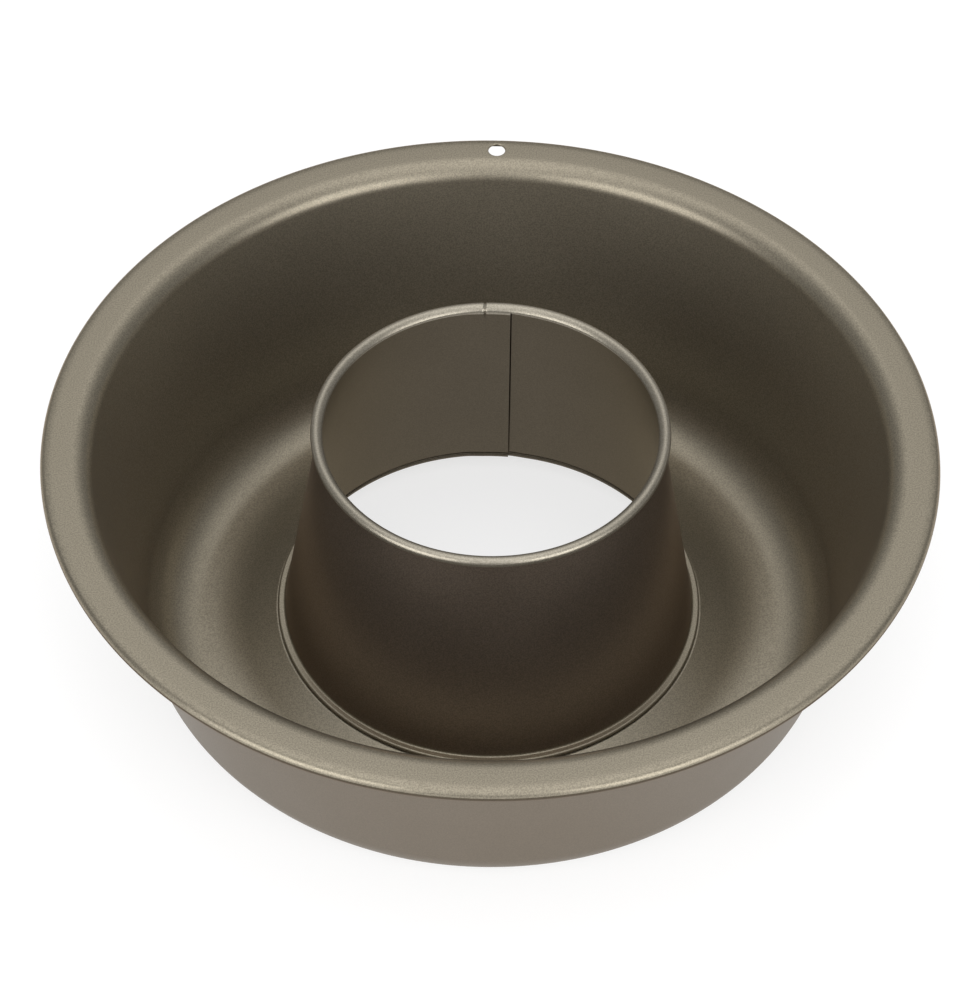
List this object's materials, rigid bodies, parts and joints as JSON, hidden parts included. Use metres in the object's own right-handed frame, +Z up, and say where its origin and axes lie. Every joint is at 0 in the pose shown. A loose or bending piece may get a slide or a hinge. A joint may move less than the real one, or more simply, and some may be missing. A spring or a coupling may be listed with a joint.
{
  "type": "ring cake pan",
  "caption": "Plain round ring cake pan of coated sheet steel with a rounded channel, sloping wall, flat rim with a hanging hole and a tall open tapered centre tube",
  "frame": {"origin": "middle of the circle that the pan stands on, at the height of the table", "axes": "+Z up along the axis of the tube, +Y towards the hanging hole in the rim, +X to the right as seen from the front"},
  "size_m": [0.26, 0.26, 0.0834],
  "materials": {
    "body_coat": "satin metallic non-stick coating with a fine grain",
    "tube_coat": "satin metallic non-stick coating with a fine grain"
  },
  "bodies": {
    "root": {"pan_body": "body_coat", "centre_tube": "tube_coat"}
  },
  "joints": []
}
